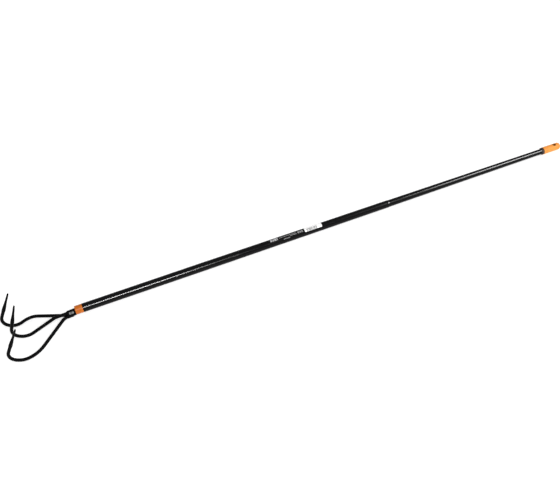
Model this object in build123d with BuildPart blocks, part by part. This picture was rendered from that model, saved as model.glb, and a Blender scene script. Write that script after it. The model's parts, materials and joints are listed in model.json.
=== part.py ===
"""Long-handled three-tine hand cultivator, lying as it rests on the ground with its tips up.

Every piece is drawn about the shaft axis: "station" is the distance in millimetres along that
axis, 0 where the tube begins, negative towards the head and positive towards the hanging cap.
"""

from build123d import *
from math import asin, atan2, cos, degrees, hypot, radians, sin, sqrt
import os

# ---- Driving dimensions, mm and degrees -------------------------------------------------

# Shaft tube
tube_length = 1411.0
tube_diameter = 24.0
tube_wall = 1.1
straight_length = 340.0
neck_station = 891.0
neck_run = 5.0
neck_diameter = 21.3
upper_diameter = 20.1
tube_end_diameter = 16.2

# Collar between the head and the tube
collar_length = 20.0
collar_diameter = 23.4
collar_edge = 0.8

# Head ferrule, a tapering socket that the three rods are welded into
ferrule_length = 22.0
ferrule_wall = 0.7
ferrule_drop = 6.4
ferrule_back_width = 18.4
ferrule_back_height = 19.0
ferrule_back_drop = 3.6
ferrule_edge = 0.5
weld_length = 2.6
weld_slope = 1.5

# Tine rods, gathered into a round bundle with the middle rod on top
rod_diameter = 9.0
rod_gap = 0.1
root_depth = 15.0

# Outer tine route: height is measured up from the shaft axis, reach forward from station 0
neck_reach = 51.2
level_reach = 137.6
level_side = 68.8
level_height = -34.1
belly_reach = 183.2
belly_side = 63.5
belly_height = -48.9
front_reach = 213.7
front_side = 64.2
front_height = -18.1
outer_tip_reach = 164.5
outer_tip_side = 67.1
outer_tip_height = 69.9
outer_bend_radii = (27.0, 61.0, 34.0, 28.0)

# Middle tine route
middle_neck_reach = 73.9
middle_belly_reach = 157.8
middle_belly_height = -36.0
middle_front_reach = 191.4
middle_front_height = -8.8
middle_tip_reach = 153.4
middle_tip_height = 84.7
middle_bend_radii = (36.0, 35.0, 28.0)

# Forged points: a swelled shoulder, then a taper down to a blunt, rounded tip
point_length = 64.0
shoulder_distance = 10.0
shoulder_growth = 1.14
waist_distance = 22.0
waist_growth = 0.97
blade_distance = 42.0
blade_width = 7.5
blade_thickness = 6.1
tip_width = 4.8
tip_thickness = 4.2
tip_rounding = 1.2

# Tang, sleeve and lock pin inside the tube
tang_diameter = 8.0
tang_grip = 4.0
tang_reach = 64.0
tang_edge = 1.0
sleeve_length = 70.0
sleeve_edge = 1.0
pin_diameter = 4.0
pin_station = 36.0
pin_inset = 1.5

# Hanging cap
flare_length = 2.2
flange_diameter = 21.2
flange_overhang = 3.0
flange_rim = 4.6
flange_edge = 1.0
spigot_length = 40.0
spigot_lead = 2.0
spigot_slack = 0.5
post_diameter = 12.0
post_length = 26.0
cap_diameter = 21.4
cap_length = 58.0
cap_end_radius = 7.5
hole_diameter = 10.0
hole_from_end = 19.6
hole_edge = 0.8

# Printed marks, sticker and badge
film_thickness = 0.12
sticker_station = 632.0
sticker_length = 52.0
sticker_wrap = 98.0
mark_gap = 1.2
badge_length = 13.0
badge_width = 6.4
badge_turn = -42.0

# How finely, and how many times over, the resting tilt is worked out
rest_steps = 400
rest_passes = 4

# ---- Sizes that follow from them ---------------------------------------------------------

rod_radius = rod_diameter / 2
rod_pitch = rod_diameter + rod_gap
bundle_radius = rod_pitch / sqrt(3)
outer_root_side = rod_pitch / 2
outer_root_height = -ferrule_drop - bundle_radius / 2
middle_root_height = bundle_radius - ferrule_drop
tube_bore = tube_diameter - 2 * tube_wall
tube_end_bore = tube_end_diameter - 2 * tube_wall
tube_profile = [
    (0.0, tube_diameter / 2),
    (straight_length, tube_diameter / 2),
    (neck_station, neck_diameter / 2),
    (neck_station + neck_run, upper_diameter / 2),
    (tube_length, tube_end_diameter / 2),
]
ferrule_front = -collar_length - ferrule_length
ferrule_radius = bundle_radius + rod_radius + ferrule_wall
weld_radius = ferrule_radius - ferrule_edge
root_station = ferrule_front + root_depth
flange_end = tube_length + flange_overhang
flange_start = flange_end - flange_rim - flare_length
cap_end = flange_end + cap_length
hole_station = cap_end - hole_from_end
cap_foot = cap_end - cap_end_radius
cap_foot_height = cap_end_radius - cap_diameter / 2


def outer_points(side):
    """Corner points of an outer tine's centre line, side +1 left or -1 right."""
    return [
        (root_station, side * outer_root_side, outer_root_height),
        (-neck_reach, side * outer_root_side, outer_root_height),
        (-level_reach, side * level_side, level_height),
        (-belly_reach, side * belly_side, belly_height),
        (-front_reach, side * front_side, front_height),
        (-outer_tip_reach, side * outer_tip_side, outer_tip_height),
    ]


middle_points = [
    (root_station, 0, middle_root_height),
    (-middle_neck_reach, 0, middle_root_height),
    (-middle_belly_reach, 0, middle_belly_height),
    (-middle_front_reach, 0, middle_front_height),
    (-middle_tip_reach, 0, middle_tip_height),
]


def tube_radius(station):
    """Outer radius of the tube at a station, between the corners of its profile."""
    for (start, first), (end, last) in zip(tube_profile, tube_profile[1:]):
        if station <= end:
            return first + (last - first) * (station - start) / (end - start)
    return tube_end_diameter / 2


# ---- How the tool rests: on the bellies of its outer tines and on the cap's round end ----

with BuildLine() as resting_route:
    FilletPolyline(*outer_points(1), radius=outer_bend_radii)
route_spots = [resting_route.wire() @ (step / rest_steps) for step in range(rest_steps + 1)]
rest_tilt = 0.0
for settle in range(rest_passes):
    belly = min(route_spots, key=lambda p: p.Z * cos(rest_tilt) - p.X * sin(rest_tilt))
    drop = cap_foot_height - belly.Z
    run = cap_foot - belly.X
    rest_tilt = atan2(drop, run) + asin((rod_radius - cap_end_radius) / hypot(drop, run))
front = min(p.X * cos(rest_tilt) + p.Z * sin(rest_tilt) for p in route_spots) - rod_radius
back = cap_end * cos(rest_tilt)
axis_height = rod_radius - belly.Z * cos(rest_tilt) + belly.X * sin(rest_tilt)

# The shaft's own frame: X along the axis towards the cap, Z to the side that the tips are on.
shaft = Plane(
    origin=(-(front + back) / 2, 0, axis_height),
    x_dir=(cos(rest_tilt), 0, -sin(rest_tilt)),
    z_dir=(sin(rest_tilt), 0, cos(rest_tilt)),
)
shaft_axis = Axis(shaft.origin, shaft.x_dir)


def cross_plane(station, height=0.0):
    """Plane square to the shaft at a station, its X sideways and its Y towards the tips."""
    origin = shaft.from_local_coords((station, 0, height))
    return Plane(origin=origin, x_dir=shaft.y_dir, z_dir=shaft.x_dir)


def outward(turn):
    """Direction square to the shaft, turned in degrees from the tip side towards the left."""
    return shaft.z_dir * cos(radians(turn)) + shaft.y_dir * sin(radians(turn))


def side_plane(turn=0.0):
    """Plane through the shaft axis: X along it and Y outwards, turned from the tip side."""
    square = shaft.x_dir.cross(outward(turn))
    return Plane(origin=shaft.origin, x_dir=shaft.x_dir, z_dir=square)


def point_section(route, distance):
    """Plane square to a route's straight end, a distance along from the end of its rod."""
    heading = route % 1
    return Plane(
        origin=(route @ 1) + heading * distance,
        x_dir=shaft.y_dir,
        z_dir=heading,
    )


def shortened(points):
    """The same route with its last straight cut back by the forged point's length."""
    corner = Vector(*points[-2])
    tip = Vector(*points[-1])
    rod_end = tip - (tip - corner).normalized() * point_length
    return points[:-1] + [tuple(rod_end)]


def forge_tine(tine_points, bend_radii):
    """Bend a rod along a route and forge its end into a swelled, flattened point."""
    with BuildPart() as tine:
        with BuildLine(shaft) as route:
            FilletPolyline(*shortened(tine_points), radius=bend_radii)
        line = route.wire()
        with BuildSketch(Plane(origin=line @ 0, x_dir=shaft.y_dir, z_dir=line % 0)):
            Circle(rod_radius)
        sweep(path=line)
        with BuildSketch(point_section(line, 0)):
            Circle(rod_radius)
        with BuildSketch(point_section(line, shoulder_distance)):
            Circle(rod_radius * shoulder_growth)
        with BuildSketch(point_section(line, waist_distance)):
            Circle(rod_radius * waist_growth)
        with BuildSketch(point_section(line, blade_distance)):
            Ellipse(blade_width / 2, blade_thickness / 2)
        with BuildSketch(point_section(line, point_length)):
            Ellipse(tip_width / 2, tip_thickness / 2)
        loft()
        tip = (line @ 1) + (line % 1) * point_length
        fillet(tine.edges().sort_by_distance(tip)[0], tip_rounding)
    return tine


# ---- Head --------------------------------------------------------------------------------

left_tine = forge_tine(outer_points(1), outer_bend_radii)
left_tine.part.label = "left_tine"

right_tine = forge_tine(outer_points(-1), outer_bend_radii)
right_tine.part.label = "right_tine"

middle_tine = forge_tine(middle_points, middle_bend_radii)
middle_tine.part.label = "middle_tine"

tines = [left_tine, middle_tine, right_tine]

with BuildPart() as head_tang:
    with BuildSketch(cross_plane(-collar_length - tang_grip)):
        Circle(tang_diameter / 2)
    extrude(amount=tang_grip + collar_length + tang_reach)
    chamfer(head_tang.faces().sort_by(shaft_axis)[-1].edges(), tang_edge)
    with BuildSketch(Plane(origin=shaft.from_local_coords((pin_station, 0, 0)), z_dir=shaft.y_dir)):
        Circle(pin_diameter / 2)
    extrude(amount=tube_diameter, both=True, mode=Mode.SUBTRACT)
head_tang.part.label = "head_tang"

with BuildPart() as tine_socket:
    with BuildSketch(cross_plane(ferrule_front, -ferrule_drop)):
        Circle(ferrule_radius)
    with BuildSketch(cross_plane(-collar_length, -ferrule_back_drop)):
        Ellipse(ferrule_back_width / 2, ferrule_back_height / 2)
    loft()
    fillet(tine_socket.edges().sort_by(shaft_axis)[0], ferrule_edge)
    for tine in tines:
        add(tine.part, mode=Mode.SUBTRACT)
    add(head_tang.part, mode=Mode.SUBTRACT)
tine_socket.part.label = "tine_socket"

with BuildPart() as root_weld:
    with BuildSketch(cross_plane(ferrule_front, -ferrule_drop)):
        Circle(weld_radius)
    with BuildSketch(cross_plane(ferrule_front - weld_length, -ferrule_drop)):
        Circle(weld_radius - weld_slope)
    loft()
    for tine in tines:
        add(tine.part, mode=Mode.SUBTRACT)
root_weld.part.label = "root_weld"

badge_spot = (-collar_length - ferrule_length / 2, 0, -(ferrule_drop + ferrule_back_drop) / 2)
badge_plane = Plane(
    origin=shaft.from_local_coords(badge_spot),
    x_dir=shaft.x_dir,
    z_dir=outward(badge_turn),
)

with BuildPart() as hub_badge:
    with BuildSketch(cross_plane(ferrule_front, -ferrule_drop)):
        Circle(ferrule_radius + film_thickness)
    with BuildSketch(cross_plane(-collar_length, -ferrule_back_drop)):
        Ellipse(ferrule_back_width / 2 + film_thickness, ferrule_back_height / 2 + film_thickness)
    loft()
    with BuildSketch(badge_plane):
        SlotOverall(badge_length, badge_width)
    extrude(amount=tube_diameter, mode=Mode.INTERSECT)
    with BuildSketch(cross_plane(ferrule_front, -ferrule_drop)):
        Circle(ferrule_radius)
    with BuildSketch(cross_plane(-collar_length, -ferrule_back_drop)):
        Ellipse(ferrule_back_width / 2, ferrule_back_height / 2)
    loft(mode=Mode.SUBTRACT)
hub_badge.part.label = "hub_badge"

# ---- Joint between head and shaft --------------------------------------------------------

with BuildPart() as shaft_collar:
    with BuildSketch(cross_plane(-collar_length)):
        Circle(collar_diameter / 2)
        Circle(tang_diameter / 2, mode=Mode.SUBTRACT)
    extrude(amount=collar_length)
    outer_edges = shaft_collar.edges().filter_by(GeomType.CIRCLE).group_by(lambda e: e.radius)[-1]
    fillet(outer_edges, collar_edge)
shaft_collar.part.label = "shaft_collar"

with BuildPart() as tang_sleeve:
    with BuildSketch(cross_plane(0)):
        Circle(tube_bore / 2)
        Circle(tang_diameter / 2, mode=Mode.SUBTRACT)
    extrude(amount=sleeve_length)
    chamfer(tang_sleeve.edges().group_by(shaft_axis)[-1].sort_by(SortBy.LENGTH)[-1], sleeve_edge)
    with BuildSketch(Plane(origin=shaft.from_local_coords((pin_station, 0, 0)), z_dir=shaft.y_dir)):
        Circle(pin_diameter / 2)
    extrude(amount=tube_bore / 2 - pin_inset, both=True, mode=Mode.SUBTRACT)
tang_sleeve.part.label = "tang_sleeve"

with BuildPart() as tang_lock_pin:
    with BuildSketch(Plane(origin=shaft.from_local_coords((pin_station, 0, 0)), z_dir=shaft.y_dir)):
        Circle(pin_diameter / 2)
    extrude(amount=tube_bore / 2 - pin_inset, both=True)
tang_lock_pin.part.label = "tang_lock_pin"

# ---- Shaft -------------------------------------------------------------------------------

tube_inside = [(station, radius - tube_wall) for station, radius in tube_profile]

with BuildPart() as shaft_tube:
    with BuildSketch(side_plane()):
        with BuildLine():
            Polyline(*tube_inside, *reversed(tube_profile), close=True)
        make_face()
    revolve(axis=shaft_axis)
shaft_tube.part.label = "shaft_tube"

# ---- Hanging cap -------------------------------------------------------------------------

spigot_start = tube_length - spigot_length
spigot_bore_start = tube_radius(spigot_start) - tube_wall

with BuildPart() as cap_core:
    with BuildSketch(side_plane()):
        with BuildLine():
            Polyline(
                (spigot_start, 0),
                (spigot_start, spigot_bore_start - spigot_lead),
                (spigot_start + spigot_lead, spigot_bore_start - spigot_slack),
                (tube_length, tube_end_bore / 2),
                (tube_length, tube_end_diameter / 2),
                (flange_start, tube_radius(flange_start)),
                (flange_start, tube_end_diameter / 2 + tube_wall),
                (flange_end - flange_rim, flange_diameter / 2),
                (flange_end, flange_diameter / 2),
                (flange_end, post_diameter / 2),
                (flange_end + post_length, post_diameter / 2),
                (flange_end + post_length, 0),
                close=True,
            )
        make_face()
    revolve(axis=shaft_axis)
    rim_edges = cap_core.edges().filter_by(GeomType.CIRCLE).group_by(lambda e: e.radius)[-1]
    fillet(rim_edges, flange_edge)
cap_core.part.label = "cap_core"

with BuildPart() as end_cap:
    with BuildSketch(cross_plane(flange_end)):
        Circle(cap_diameter / 2)
    extrude(amount=cap_length)
    fillet(end_cap.edges().sort_by(shaft_axis)[-1], cap_end_radius)
    with BuildSketch(cross_plane(flange_end)):
        Circle(post_diameter / 2)
    extrude(amount=post_length, mode=Mode.SUBTRACT)
    hole_centre = shaft.from_local_coords((hole_station, 0, 0))
    with BuildSketch(Plane(origin=hole_centre, x_dir=shaft.x_dir, z_dir=shaft.z_dir)):
        Circle(hole_diameter / 2)
    extrude(amount=cap_diameter, both=True, mode=Mode.SUBTRACT)
    # The hole's two rims, where it breaks out of the round cap, are its only saddle curves.
    fillet(end_cap.edges().filter_by(GeomType.BSPLINE), hole_edge)
end_cap.part.label = "end_cap"

# ---- Sticker and printed marks, thin films on the tube ----------------------------------


def film_profile(start, end):
    """Long section of a film that lies on the tube between two stations."""
    Polyline(
        (start, tube_radius(start)),
        (end, tube_radius(end)),
        (end, tube_radius(end) + film_thickness),
        (start, tube_radius(start) + film_thickness),
        close=True,
    )


with BuildPart() as retail_sticker:
    with BuildSketch(side_plane(sticker_wrap / 2)):
        with BuildLine():
            film_profile(sticker_station, sticker_station + sticker_length)
        make_face()
    revolve(axis=shaft_axis, revolution_arc=sticker_wrap)
retail_sticker.part.label = "retail_sticker"

# Rows of plain printed bars: first station, turn from the tip side, wrap, and bar lengths.
mark_rows = [
    (530.0, -8.0, 42.0, (5.0, 4.2, 5.4, 3.6)),
    (568.0, -46.0, 12.0, (2.6, 3.4, 2.0, 3.0, 2.4)),
    (556.0, -8.0, 11.0, (3.0, 4.6, 2.8, 5.0, 3.4, 4.4, 3.0, 4.8, 3.6, 4.0)),
    (588.0, -26.0, 11.0, (4.2, 3.0, 4.8, 3.4)),
    (611.0, -17.0, 30.0, (5.0, 3.8, 4.6)),
]

with BuildPart() as printed_marks:
    for start, turn, wrap, lengths in mark_rows:
        for length in lengths:
            with BuildSketch(side_plane(turn + wrap / 2)):
                with BuildLine():
                    film_profile(start, start + length)
                make_face()
            revolve(axis=shaft_axis, revolution_arc=wrap)
            start += length + mark_gap
printed_marks.part.label = "printed_marks"

# ---- Write one file for each piece ------------------------------------------------------

pieces = tines + [
    tine_socket,
    root_weld,
    hub_badge,
    head_tang,
    shaft_collar,
    tang_sleeve,
    tang_lock_pin,
    shaft_tube,
    cap_core,
    end_cap,
    retail_sticker,
    printed_marks,
]

os.makedirs("parts", exist_ok=True)
for piece in pieces:
    export_step(piece.part, f"parts/{piece.part.label}.step")

print(f"rest tilt {degrees(rest_tilt):.4f} degrees, axis height {axis_height:.3f} at station 0")
print("shaft frame origin", tuple(shaft.origin))
print("hanging hole centre", tuple(shaft.from_local_coords((hole_station, 0, 0))))
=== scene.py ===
"""Looks of the long-handled hand cultivator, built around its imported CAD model. Metres."""

import json
import math

import bmesh
import bpy
from mathutils import Matrix, Vector, noise


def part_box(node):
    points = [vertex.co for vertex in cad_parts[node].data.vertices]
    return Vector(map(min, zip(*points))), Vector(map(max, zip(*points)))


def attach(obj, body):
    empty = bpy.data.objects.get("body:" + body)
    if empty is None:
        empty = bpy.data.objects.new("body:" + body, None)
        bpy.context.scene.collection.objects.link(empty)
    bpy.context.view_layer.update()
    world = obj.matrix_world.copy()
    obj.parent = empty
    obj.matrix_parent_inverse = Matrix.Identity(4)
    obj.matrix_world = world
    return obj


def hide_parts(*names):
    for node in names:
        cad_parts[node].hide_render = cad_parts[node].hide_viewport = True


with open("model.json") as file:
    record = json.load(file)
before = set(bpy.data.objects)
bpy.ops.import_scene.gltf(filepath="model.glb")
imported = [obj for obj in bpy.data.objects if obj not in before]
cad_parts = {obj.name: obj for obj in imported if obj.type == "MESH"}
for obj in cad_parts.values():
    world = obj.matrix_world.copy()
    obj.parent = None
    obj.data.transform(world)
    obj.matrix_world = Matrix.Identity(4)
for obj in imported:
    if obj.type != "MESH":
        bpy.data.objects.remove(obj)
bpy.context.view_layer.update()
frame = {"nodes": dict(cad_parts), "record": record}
nodes = frame["nodes"]
MM = 0.001
WHITE = (1.0, 1.0, 1.0)


# ---- The shaft's own frame, read from the model ------------------------------------------

hole_centre = Vector(frame["record"]["mounts"][0]["pos_m"])
pin_low, pin_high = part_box("tang_lock_pin")
pin_centre = (pin_low + pin_high) / 2
along = (hole_centre - pin_centre).normalized()
across = Vector((0.0, 1.0, 0.0))
tipward = along.cross(across)


def stations(node):
    """First and last distance of a node along the shaft from the lock pin."""
    spots = [(vertex.co - pin_centre).dot(along) for vertex in nodes[node].data.vertices]
    return min(spots), max(spots)


shaft_start = pin_centre + along * stations("shaft_tube")[0]
shaft_matrix = Matrix((along, across, tipward)).transposed().to_4x4()
shaft_matrix.translation = shaft_start


def on_shaft(station, turn, radius):
    """Point at a station from the tube's start, turned from the tip side towards the left."""
    angle = math.radians(turn)
    spread = tipward * math.cos(angle) + across * math.sin(angle)
    return shaft_start + along * station + spread * radius


def station_of(place):
    return (place - shaft_start).dot(along)


def rings(node):
    """A node's corners as station from the tube's start and distance from the shaft's axis."""
    found = []
    for vertex in nodes[node].data.vertices:
        station = station_of(vertex.co)
        found.append((station, (vertex.co - shaft_start - along * station).length))
    return sorted(found)


# ---- Materials ---------------------------------------------------------------------------


class Paint:
    """One node material, with short calls for the few kinds of node that it needs."""

    def __init__(self, name, color, roughness, metallic=0.0):
        self.material = bpy.data.materials.new(name)
        self.material.use_nodes = True
        self.tree = self.material.node_tree
        self.shader = self.tree.nodes["Principled BSDF"]
        self.set("Base Color", rgb(color))
        self.set("Roughness", roughness)
        self.set("Metallic", metallic)
        self.place = self.tree.nodes.new("ShaderNodeTexCoord").outputs["Object"]

    def link(self, start, end):
        self.tree.links.new(start, end)

    def feed(self, socket, value):
        """Set an input to a plain value or link it to an output."""
        if isinstance(value, bpy.types.NodeSocket):
            self.link(value, socket)
        else:
            socket.default_value = value

    def set(self, name, value):
        self.feed(self.shader.inputs[name], value)

    def shaft_place(self, scale=(1.0, 1.0, 1.0)):
        """Object coordinates turned into the shaft's frame, with a stretch along each axis."""
        turned = self.tree.nodes.new("ShaderNodeMapping")
        turned.vector_type = "TEXTURE"
        turned.inputs["Location"].default_value = shaft_start
        turned.inputs["Rotation"].default_value = shaft_matrix.to_euler()
        self.link(self.place, turned.inputs["Vector"])
        stretched = self.tree.nodes.new("ShaderNodeMapping")
        stretched.inputs["Scale"].default_value = scale
        self.link(turned.outputs["Vector"], stretched.inputs["Vector"])
        return stretched.outputs["Vector"]

    def noise(self, scale, detail=3.0, rough=0.55, place=None):
        node = self.tree.nodes.new("ShaderNodeTexNoise")
        node.inputs["Scale"].default_value = scale
        node.inputs["Detail"].default_value = detail
        node.inputs["Roughness"].default_value = rough
        self.link(place or self.place, node.inputs["Vector"])
        return node.outputs["Fac"]

    def stripes(self, value, scale):
        """Uneven stripes across one coordinate, 0 to 1."""
        node = self.tree.nodes.new("ShaderNodeTexNoise")
        node.noise_dimensions = "1D"
        node.inputs["Scale"].default_value = scale
        node.inputs["Detail"].default_value = 1.0
        self.link(value, node.inputs["W"])
        return node.outputs["Fac"]

    def cells(self, scale, place=None):
        node = self.tree.nodes.new("ShaderNodeTexVoronoi")
        node.inputs["Scale"].default_value = scale
        self.link(place or self.place, node.inputs["Vector"])
        return node.outputs["Distance"]

    def ramp(self, value, start, end, low=0.0, high=1.0):
        """Map start..end of a value onto low..high, and hold it outside."""
        node = self.tree.nodes.new("ShaderNodeMapRange")
        self.link(value, node.inputs["Value"])
        node.inputs["From Min"].default_value = start
        node.inputs["From Max"].default_value = end
        node.inputs["To Min"].default_value = low
        node.inputs["To Max"].default_value = high
        return node.outputs["Result"]

    def math(self, operation, first, second=0.0):
        node = self.tree.nodes.new("ShaderNodeMath")
        node.operation = operation
        self.feed(node.inputs[0], first)
        self.feed(node.inputs[1], second)
        return node.outputs[0]

    def times(self, first, second):
        return self.math("MULTIPLY", first, second)

    def within(self, value, low, high):
        """1 where a value lies between two limits."""
        return self.times(self.math("GREATER_THAN", value, low), self.math("LESS_THAN", value, high))

    def blend(self, factor, first, second):
        """Mix two colours, each a plain colour or an output."""
        node = self.tree.nodes.new("ShaderNodeMix")
        node.data_type = "RGBA"
        self.feed(node.inputs["Factor"], factor)
        self.feed(node.inputs[6], first if isinstance(first, bpy.types.NodeSocket) else rgb(first))
        self.feed(node.inputs[7], rgb(second))
        return node.outputs[2]

    def axis(self, place, name):
        node = self.tree.nodes.new("ShaderNodeSeparateXYZ")
        self.link(place, node.inputs["Vector"])
        return node.outputs[name]

    def bump(self, height, distance, strength=1.0, under=None):
        node = self.tree.nodes.new("ShaderNodeBump")
        node.inputs["Strength"].default_value = strength
        node.inputs["Distance"].default_value = distance
        self.link(height, node.inputs["Height"])
        if under:
            self.link(under, node.inputs["Normal"])
        self.link(node.outputs["Normal"], self.shader.inputs["Normal"])
        return node.outputs["Normal"]


def rgb(color):
    return (*color, 1.0)


def enamel_paint():
    """Gloss black stove enamel: faint orange peel, hair-fine handling marks and dust."""
    paint = Paint("gloss_black_enamel", (0.003, 0.003, 0.003), 0.22)
    hairline = paint.noise(60.0, 2.0, 0.6, paint.shaft_place((0.6, 40.0, 40.0)))
    scratch = paint.ramp(hairline, 0.70, 0.78)
    dust = paint.ramp(paint.cells(420.0), 0.085, 0.03)
    base = paint.blend(paint.noise(9.0, 4.0), (0.0014, 0.0014, 0.0016), (0.0038, 0.0038, 0.0042))
    marked = paint.blend(paint.times(scratch, 0.35), base, (0.030, 0.030, 0.030))
    paint.set("Base Color", paint.blend(paint.times(dust, 0.30), marked, (0.060, 0.058, 0.055)))
    sheen = paint.ramp(paint.noise(26.0, 5.0, 0.6), 0.3, 0.75, 0.13, 0.22)
    paint.set("Roughness", paint.math("ADD", sheen, paint.times(scratch, 0.12)))
    paint.set("Specular IOR Level", 0.09)
    under = paint.bump(paint.noise(620.0, 2.0, 0.5), 0.06 * MM, 0.5)
    paint.bump(hairline, 0.02 * MM, 0.4, under)
    return paint.material


def powder_coat():
    """Satin black powder coat on forged steel, rubbed through near the points."""
    paint = Paint("satin_black_powder_coat", (0.004, 0.004, 0.004), 0.30)
    base = paint.blend(paint.noise(40.0, 4.0), (0.0016, 0.0016, 0.0018), (0.0046, 0.0046, 0.0050))
    tip_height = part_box("left_tine")[1].z
    tip_zone = paint.ramp(paint.axis(paint.place, "Z"), tip_height * 0.84, tip_height * 1.05)
    rub = paint.ramp(paint.noise(230.0, 5.0, 0.7), 0.60, 0.72)
    bare = paint.times(tip_zone, rub)
    chip = paint.times(paint.ramp(paint.noise(150.0, 4.0, 0.7), 0.74, 0.78), 0.5)
    paint.set("Base Color", paint.blend(paint.math("MAXIMUM", bare, chip), base, (0.20, 0.185, 0.17)))
    paint.set("Metallic", paint.times(bare, 0.85))
    paint.set("Roughness", paint.ramp(paint.noise(70.0, 5.0, 0.6), 0.3, 0.75, 0.24, 0.38))
    paint.set("Specular IOR Level", 0.06)
    paint.set("IOR", 1.25)
    under = paint.bump(paint.noise(900.0, 2.0, 0.5), 0.08 * MM, 0.55)
    paint.bump(paint.noise(120.0, 3.0, 0.6), 0.2 * MM, 0.35, under)
    return paint.material


hang_hole = frame["record"]["mounts"][0]
hole_radius = hang_hole["dims"]["r_mm"] * MM
hole_station = station_of(hole_centre)


def hole_distance(paint):
    """Distance from the hanging hole's own axis."""
    place = paint.shaft_place()
    ahead = paint.math("SUBTRACT", paint.axis(place, "X"), hole_station)
    side = paint.axis(place, "Y")
    return paint.math("SQRT", paint.math("ADD", paint.times(ahead, ahead), paint.times(side, side)))


def orange_plastic(name, color, deep):
    """Moulded orange plastic: spark-eroded grain, flow marks and painted shade inside its hole."""
    paint = Paint(name, color, 0.36)
    flow = paint.noise(95.0, 3.0, 0.5, paint.shaft_place((1.0, 0.4, 0.4)))
    mottled = paint.blend(paint.ramp(flow, 0.32, 0.68), deep, color)
    dirt = paint.ramp(paint.noise(140.0, 6.0, 0.7), 0.66, 0.80)
    soiled = paint.blend(paint.times(dirt, 0.30), mottled, (0.18, 0.07, 0.02))
    # Painted shade: the bore of the hanging hole is darkened towards its axis, as if in shade.
    hole_painted_shade = paint.ramp(hole_distance(paint), hole_radius * 0.98, hole_radius * 1.06, 0.88, 0.0)
    paint.set("Base Color", paint.blend(hole_painted_shade, soiled, (0.050, 0.018, 0.006)))
    paint.set("Roughness", paint.ramp(flow, 0.3, 0.7, 0.31, 0.44))
    paint.set("Specular IOR Level", 0.25)
    paint.set("Subsurface Weight", 0.06)
    paint.set("Subsurface Radius", (4.0 * MM, 1.5 * MM, 0.5 * MM))
    paint.bump(paint.noise(2400.0, 2.0, 0.5), 0.05 * MM, 0.5)
    return paint.material


def black_plastic():
    """Matt moulded black plastic, greyed in random patches by handling."""
    paint = Paint("moulded_black_plastic", (0.014, 0.013, 0.013), 0.5)
    scuff = paint.noise(90.0, 5.0, 0.65)
    worn = paint.ramp(scuff, 0.3, 0.8)
    paint.set("Base Color", paint.blend(worn, (0.026, 0.019, 0.016), (0.058, 0.043, 0.037)))
    paint.set("Roughness", paint.ramp(scuff, 0.3, 0.7, 0.40, 0.58))
    paint.set("Specular IOR Level", 0.25)
    paint.bump(paint.noise(1800.0, 2.0, 0.5), 0.06 * MM, 0.6)
    return paint.material


def drawn_steel():
    """Bare drawn steel with lengthways draw lines."""
    paint = Paint("bare_drawn_steel", (0.50, 0.50, 0.51), 0.32, 1.0)
    draw = paint.noise(400.0, 3.0, 0.6, paint.shaft_place((0.05, 1.0, 1.0)))
    paint.set("Base Color", paint.blend(draw, (0.36, 0.36, 0.37), (0.62, 0.62, 0.63)))
    paint.set("Roughness", paint.ramp(draw, 0.3, 0.7, 0.22, 0.42))
    paint.bump(draw, 0.04 * MM, 0.5)
    return paint.material


small_print_start = 0.553
small_print_fade = 0.002


def silver_ink(name, bright, dim):
    """Silver-grey screen-printed ink, thin enough for the black paint to grin through."""
    paint = Paint(name, bright, 0.42)
    thin = paint.ramp(paint.noise(420.0, 4.0, 0.7), 0.42, 0.66)
    station = paint.axis(paint.shaft_place(), "X")
    small_print_end = small_print_start + small_print_fade
    small_print = paint.ramp(station, small_print_start, small_print_end, 0.0, 0.66)
    paint.set("Base Color", paint.blend(paint.math("MAXIMUM", thin, small_print), bright, dim))
    paint.set("Roughness", paint.ramp(paint.noise(90.0), 0.3, 0.7, 0.34, 0.5))
    paint.set("Specular IOR Level", 0.2)
    paint.bump(paint.noise(1500.0), 0.03 * MM, 0.4)
    return paint.material


def badge_ink():
    """Grey hub mark: plain uneven bars with the black coat between them."""
    paint = Paint("hub_mark_ink", (0.30, 0.32, 0.32), 0.45)
    bars = paint.ramp(paint.stripes(paint.axis(paint.shaft_place(), "X"), 520.0), 0.47, 0.53)
    worn = paint.times(bars, paint.ramp(paint.noise(500.0, 4.0, 0.7), 0.62, 0.40))
    paint.set("Base Color", paint.blend(worn, (0.02, 0.02, 0.02), (0.34, 0.36, 0.36)))
    paint.set("Roughness", paint.ramp(worn, 0.0, 1.0, 0.36, 0.50))
    paint.bump(bars, 0.03 * MM, 0.5)
    return paint.material


def label_paper():
    """White coated label paper with a block of plain grey bars."""
    paint = Paint("white_label_paper", (0.86, 0.86, 0.86), 0.45)
    place = paint.shaft_place()
    station = paint.axis(place, "X")
    side = paint.axis(place, "Y")
    first, last = rings("retail_sticker")[0][0], rings("retail_sticker")[-1][0]
    length = last - first
    bars = paint.ramp(paint.stripes(station, 900.0), 0.42, 0.47)
    block = paint.times(
        paint.within(station, first + length * 0.10, first + length * 0.72),
        paint.within(side, -8.6 * MM, -0.6 * MM),
    )
    fibre = paint.noise(500.0, 5.0, 0.7)
    paper = paint.blend(fibre, (0.82, 0.82, 0.81), (0.90, 0.90, 0.90))
    printed = paint.times(paint.times(block, bars), 0.92)
    paint.set("Base Color", paint.blend(printed, paper, (0.16, 0.16, 0.16)))
    paint.set("Roughness", paint.ramp(fibre, 0.3, 0.7, 0.36, 0.52))
    paint.bump(fibre, 0.03 * MM, 0.5)
    return paint.material


enamel = enamel_paint()
coat = powder_coat()
collar_orange = orange_plastic("collar_orange_plastic", (0.505, 0.130, 0.006), (0.41, 0.098, 0.005))
# Painted light: the cap's copy of the orange plastic is made lighter than the collar's, standing in for the
# stronger light on the cap.
cap_orange_painted_lighter = orange_plastic("cap_orange_plastic_painted_lighter", (0.76, 0.30, 0.055), (0.70, 0.25, 0.042))
plastic = black_plastic()
steel = drawn_steel()
ink = silver_ink("silver_print_ink", (0.52, 0.52, 0.53), (0.06, 0.06, 0.06))
badge = badge_ink()
paper = label_paper()

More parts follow.
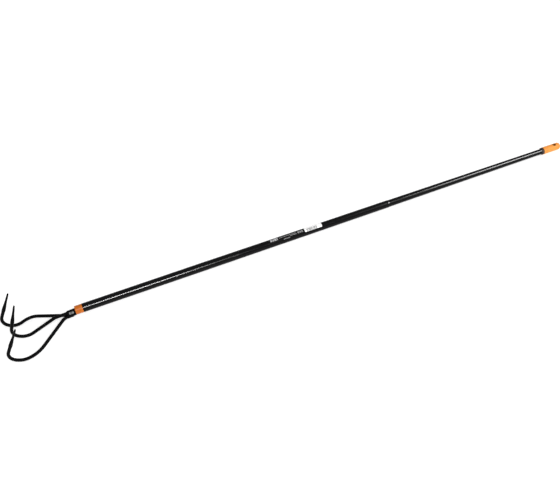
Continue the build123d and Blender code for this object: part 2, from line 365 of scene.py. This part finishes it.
node_materials = {
    "left_tine": coat,
    "middle_tine": coat,
    "right_tine": coat,
    "tine_socket": coat,
    "root_weld": coat,
    "hub_badge": badge,
    "head_tang": steel,
    "shaft_collar": collar_orange,
    "tang_sleeve": plastic,
    "tang_lock_pin": steel,
    "shaft_tube": enamel,
    "cap_core": plastic,
    "end_cap": cap_orange_painted_lighter,
    "retail_sticker": paper,
    "printed_marks": ink,
}
for name, material in node_materials.items():
    for place in nodes[name].material_slots:
        place.material = material


# ---- Pieces: what they all need ----------------------------------------------------------


def add_piece(name, mesh, material, replaced=None):
    """Put a finished mesh into the scene as a piece that rides on the tool."""
    for face in mesh.polygons:
        face.use_smooth = True
    mesh.materials.clear()
    mesh.materials.append(material)
    piece = bpy.data.objects.new(name, mesh)
    bpy.context.scene.collection.objects.link(piece)
    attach(piece, "root")
    if replaced:
        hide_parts(replaced)
    return piece


def baked(mesh, *modifiers):
    """The mesh after a list of (type, settings) modifiers."""
    holder = bpy.data.objects.new("holder", mesh)
    bpy.context.scene.collection.objects.link(holder)
    for kind, settings in modifiers:
        modifier = holder.modifiers.new(kind, kind)
        for name, value in settings.items():
            setattr(modifier, name, value)
    graph = bpy.context.evaluated_depsgraph_get()
    result = bpy.data.meshes.new_from_object(holder.evaluated_get(graph))
    bpy.data.objects.remove(holder)
    return result


def remeshed(mesh, voxel, smooth_steps):
    return baked(
        mesh,
        ("REMESH", {"mode": "VOXEL", "voxel_size": voxel}),
        ("SMOOTH", {"factor": 0.5, "iterations": smooth_steps}),
    )


# ---- Forged tines and their socket -------------------------------------------------------


def press_in(mesh, depth_at):
    """Push every corner inwards by a depth that depends on its place."""
    normals = [vertex.normal.copy() for vertex in mesh.vertices]
    for vertex, normal in zip(mesh.vertices, normals):
        vertex.co -= normal * depth_at(vertex.co)
    mesh.update()


def forged_depth(tip):
    """Scale pitting all along a tine, and flat hammer marks towards its tip."""
    reach = 75 * MM
    mark_depth = 0.22 * MM
    pit_depth = 0.05 * MM

    def depth(place):
        nearness = max(0.0, 1.0 - (place - tip).length / reach)
        marks = noise.voronoi(place / (3.4 * MM))[0][0]
        pits = 0.5 + 0.5 * noise.noise(place / (1.3 * MM))
        return mark_depth * nearness * (1.0 - min(1.0, marks)) + pit_depth * pits

    return depth


def forge(node):
    """The tine's own shape, remeshed and marked as forged and powder-coated steel."""
    mesh = remeshed(nodes[node].data.copy(), 0.62 * MM, 2)
    tip = max((vertex.co for vertex in mesh.vertices), key=lambda place: place.z).copy()
    press_in(mesh, forged_depth(tip))
    return add_piece(f"forged_{node}", mesh, coat, node)


for tine in ("left_tine", "middle_tine", "right_tine"):
    forge(tine)


# ---- Weld bead round the tine roots ------------------------------------------------------

weld_low, weld_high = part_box("root_weld")
socket_front = rings("root_weld")[-1][0]
bundle_height = ((weld_low + weld_high) / 2 - shaft_start).dot(tipward)
middle_corners = [vertex.co for vertex in nodes["middle_tine"].data.vertices]
rod_radius = max(place.y for place in middle_corners if station_of(place) > socket_front)
rod_spacing = 2 * (rod_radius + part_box("left_tine")[0].y)
bundle_radius = rod_spacing / math.sqrt(3)


def bundle_outline(angle):
    """Distance from the bundle's middle to the outside of its rods, at an angle from the top."""
    reach = 0.0
    for rod in range(3):
        turn = angle - rod * math.tau / 3
        ahead = bundle_radius * math.cos(turn)
        aside = bundle_radius * math.sin(turn)
        if abs(aside) < rod_radius:
            reach = max(reach, ahead + math.sqrt(rod_radius ** 2 - aside ** 2))
    return reach


def weld_bead():
    """Overlapping weld puddles that follow the outline of the rods, melted into one bead."""
    puddles = 44
    form = bmesh.new()
    for index in range(puddles):
        angle = index * math.tau / puddles
        wobble = noise.noise(Vector((index * 0.71, 3.3, 0.0)))
        size = (1.45 + 0.22 * wobble) * MM
        reach = max(bundle_outline(angle), bundle_radius * 1.15) - 0.2 * MM
        centre = on_shaft(socket_front - (0.5 + 0.3 * wobble) * MM, 0.0, bundle_height)
        centre += (tipward * math.cos(angle) + across * math.sin(angle)) * reach
        place = Matrix.Translation(centre) @ shaft_matrix.to_3x3().to_4x4()
        flat = Matrix.Diagonal((1.0, 0.85, 0.85, 1.0))
        bmesh.ops.create_icosphere(form, subdivisions=2, radius=size, matrix=place @ flat)
    mesh = bpy.data.meshes.new("weld_bead")
    form.to_mesh(mesh)
    form.free()
    return add_piece("weld_bead", remeshed(mesh, 0.28 * MM, 2), coat, "root_weld")


weld_bead()


# ---- Mould marks on the collar and the cap ----------------------------------------------

collar_rings = rings("shaft_collar")
collar_start, collar_end = collar_rings[0][0], collar_rings[-1][0]
collar_radius = max(radius for station, radius in collar_rings)
cap_rings = rings("end_cap")
cap_start, cap_end = cap_rings[0][0], cap_rings[-1][0]
cap_radius = max(radius for station, radius in cap_rings)
end_flat_radius = max(radius for station, radius in cap_rings if station > cap_end - 0.01 * MM)
cap_rounding = cap_radius - end_flat_radius


def parting_line(name, route, turn, material):
    """Thin raised line of flash that runs along a moulding at one turn."""
    half_width = 0.26 * MM
    height = 0.10 * MM
    rooted = 0.02 * MM
    steps = 6
    side = on_shaft(0.0, turn + 90, 1.0) - shaft_start
    form = bmesh.new()
    rows = []
    for station, radius, lean in route:
        foot = on_shaft(station, turn, radius)
        out = (on_shaft(0.0, turn, 1.0) - shaft_start) * math.cos(lean) + along * math.sin(lean)
        row = []
        for step in range(steps + 1):
            arc = math.pi * step / steps
            offset = side * half_width * math.cos(arc) + out * (height * math.sin(arc) - rooted)
            row.append(form.verts.new(foot + offset))
        rows.append(row)
    for first, second in zip(rows, rows[1:]):
        for step in range(steps):
            form.faces.new((first[step], second[step], second[step + 1], first[step + 1]))
        form.faces.new((first[steps], second[steps], second[0], first[0]))
    form.faces.new(rows[0])
    form.faces.new(list(reversed(rows[-1])))
    bmesh.ops.recalc_face_normals(form, faces=form.faces)
    mesh = bpy.data.meshes.new(name)
    form.to_mesh(mesh)
    form.free()
    return add_piece(name, mesh, material)


def collar_route():
    inset = 1.0 * MM
    steps = 8
    length = collar_end - collar_start - 2 * inset
    return [(collar_start + inset + length * step / steps, collar_radius, 0.0) for step in range(steps + 1)]


def cap_route():
    """Along the cap's side and round its end, as station, radius and lean of the surface."""
    straight = cap_end - cap_rounding
    inset = 0.6 * MM
    last_lean = math.radians(84)
    route = [(cap_start + inset, cap_radius, 0.0), (straight, cap_radius, 0.0)]
    steps = 10
    for step in range(1, steps + 1):
        lean = last_lean * step / steps
        radius = cap_radius - cap_rounding * (1 - math.cos(lean))
        route.append((straight + cap_rounding * math.sin(lean), radius, lean))
    return route


def gate_mark():
    """Small raised ring where the moulding gate was cut off, in the middle of the cap's end."""
    ring_radius = 1.5 * MM
    bead_radius = 0.16 * MM
    sunk = 0.13 * MM
    flattening = 0.7
    around, section = 32, 8
    form = bmesh.new()
    rows = []
    for index in range(around):
        turn = 360 * index / around
        row = []
        for step in range(section):
            arc = math.tau * step / section
            station = cap_end - sunk + bead_radius * flattening * math.sin(arc)
            row.append(form.verts.new(on_shaft(station, turn, ring_radius + bead_radius * math.cos(arc))))
        rows.append(row)
    for index in range(around):
        first, second = rows[index], rows[(index + 1) % around]
        for step in range(section):
            after = (step + 1) % section
            form.faces.new((first[step], second[step], second[after], first[after]))
    bmesh.ops.recalc_face_normals(form, faces=form.faces)
    mesh = bpy.data.meshes.new("cap_gate_mark")
    form.to_mesh(mesh)
    form.free()
    return add_piece("cap_gate_mark", mesh, cap_orange_painted_lighter)


for side_name, turn in (("left", 90), ("right", -90)):
    parting_line(f"collar_parting_line_{side_name}", collar_route(), turn, collar_orange)
    parting_line(f"cap_parting_line_{side_name}", cap_route(), turn, cap_orange_painted_lighter)
gate_mark()


# ---- Retail sticker ----------------------------------------------------------------------


def sticker_sheet():
    """Round-cornered label wrapped on the tube, with one corner lifting."""
    edge = rings("retail_sticker")
    first, last = edge[0][0], edge[-1][0]
    first_radius = min(radius for station, radius in edge if station < first + 1 * MM)
    last_radius = min(radius for station, radius in edge if station > last - 1 * MM)
    length = last - first
    half_wrap = math.asin(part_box("retail_sticker")[1].y / first_radius)
    corner = 2.2 * MM
    thickness = 0.12 * MM
    lift_reach = 9 * MM
    lift_height = 0.5 * MM
    long_steps, wrap_steps = 52, 24
    form = bmesh.new()
    rows = []
    for index in range(long_steps + 1):
        share = 0.5 - 0.5 * math.cos(math.pi * index / long_steps)
        run = length * share
        radius = first_radius + (last_radius - first_radius) * share
        from_end = min(run, length - run)
        inset = 0.0
        if from_end < corner:
            inset = corner - math.sqrt(corner ** 2 - (corner - from_end) ** 2)
        half_arc = half_wrap * radius - inset
        row = []
        for step in range(wrap_steps + 1):
            arc = half_arc * (2 * step / wrap_steps - 1)
            to_corner = math.hypot(length - run, half_wrap * radius - arc)
            lift = lift_height * max(0.0, 1 - to_corner / lift_reach) ** 2
            turn = math.degrees(arc / radius)
            row.append(form.verts.new(on_shaft(first + run, turn, radius + 0.01 * MM + lift)))
        rows.append(row)
    for before, after in zip(rows, rows[1:]):
        for step in range(wrap_steps):
            form.faces.new((before[step], after[step], after[step + 1], before[step + 1]))
    bmesh.ops.recalc_face_normals(form, faces=form.faces)
    mesh = bpy.data.meshes.new("sticker_sheet")
    form.to_mesh(mesh)
    form.free()
    solid = baked(mesh, ("SOLIDIFY", {"thickness": thickness, "offset": 1.0}))
    return add_piece("sticker_sheet", solid, paper, "retail_sticker")


sticker_sheet()


# ---- Floor, lights and camera ------------------------------------------------------------


def pale_floor():
    """Pale studio floor, partly emissive, and more so away from the tool."""
    half = 15.0
    form = bmesh.new()
    corners = [form.verts.new((x * half, y * half, 0.0)) for x, y in ((-1, -1), (1, -1), (1, 1), (-1, 1))]
    form.faces.new(corners)
    mesh = bpy.data.meshes.new("studio_floor")
    form.to_mesh(mesh)
    form.free()
    floor = bpy.data.objects.new("studio_floor", mesh)
    bpy.context.scene.collection.objects.link(floor)
    paint = Paint("pale_floor", (0.90, 0.90, 0.90), 0.7)
    paint.set("Base Color", paint.blend(paint.noise(0.8, 3.0), (0.91, 0.91, 0.91), (0.93, 0.93, 0.93)))
    paint.set("Specular IOR Level", 0.1)
    beside = paint.math("ABSOLUTE", paint.axis(paint.place, "Y"))
    paint.set("Emission Color", rgb(WHITE))
    paint.set("Emission Strength", paint.ramp(beside, 0.15, 1.5, 0.26, 0.75))
    mesh.materials.append(paint.material)


def soft_light(name, place, target, width, height, power, only=None):
    """Rectangular soft light; with only, it shows just as gloss, and just on those objects."""
    data = bpy.data.lights.new(name, "AREA")
    data.shape = "RECTANGLE"
    data.size = width
    data.size_y = height
    data.energy = power
    light = bpy.data.objects.new(name, data)
    light.location = place
    light.rotation_euler = (Vector(target) - Vector(place)).to_track_quat("-Z", "Y").to_euler()
    bpy.context.scene.collection.objects.link(light)
    if only:
        light.visible_diffuse = False
        lit = bpy.data.collections.new(f"{name}_lit")
        for piece in only:
            lit.objects.link(piece)
        light.light_linking.receiver_collection = lit


def studio():
    pale_floor()
    near_x = shaft_start.x
    gloss_parts = [nodes["shaft_tube"]]
    key_place = (near_x + 0.30, -1.62, 1.70)
    key_target = (near_x + 0.20, 0.0, 0.0)
    far_place = (near_x + 2.45, -1.62, 1.70)
    far_target = (near_x + 1.25, 0.0, 0.0)
    soft_light("key_softbox", key_place, key_target, 0.95, 0.6, 34.0)
    soft_light("far_softbox", far_place, far_target, 1.1, 1.3, 30.0)
    strip_place = (near_x + 0.15, -1.62, 1.70)
    strip_target = (near_x + 0.15, 0.0, 0.0)
    sheen_place = (near_x + 2.85, -1.05, 2.15)
    soft_light("gloss_strip_near", strip_place, strip_target, 0.80, 0.16, 160.0, gloss_parts)
    soft_light("gloss_sheen_far", sheen_place, far_target, 0.80, 1.3, 300.0, gloss_parts)
    world = bpy.data.worlds.new("pale_world")
    world.use_nodes = True
    sky = world.node_tree.nodes["Background"]
    sky.inputs["Color"].default_value = rgb(WHITE)
    sky.inputs["Strength"].default_value = 0.58
    bpy.context.scene.world = world
    bpy.context.scene.view_settings.view_transform = "Standard"
    bpy.context.scene.view_settings.look = "None"


def photo_camera():
    azimuth = math.radians(-16.143)
    elevation = math.radians(44.359)
    roll = math.radians(-8.529)
    distance = 2.1837
    aim = Vector((-0.0763, 0.0, -0.0110))
    back = Vector((
        math.sin(azimuth) * math.cos(elevation),
        -math.cos(azimuth) * math.cos(elevation),
        math.sin(elevation),
    ))
    level = Vector((math.cos(azimuth), math.sin(azimuth), 0.0))
    upright = back.cross(level)
    right = level * math.cos(roll) + upright * math.sin(roll)
    up = back.cross(right)
    data = bpy.data.cameras.new("photo_camera")
    data.lens = 50.0
    data.sensor_width = 36.0
    data.clip_end = 50.0
    camera = bpy.data.objects.new("photo_camera", data)
    turn = Matrix((right, up, back)).transposed().to_4x4()
    turn.translation = aim + back * distance
    camera.matrix_world = turn
    bpy.context.scene.collection.objects.link(camera)
    bpy.context.scene.camera = camera


studio()
photo_camera()
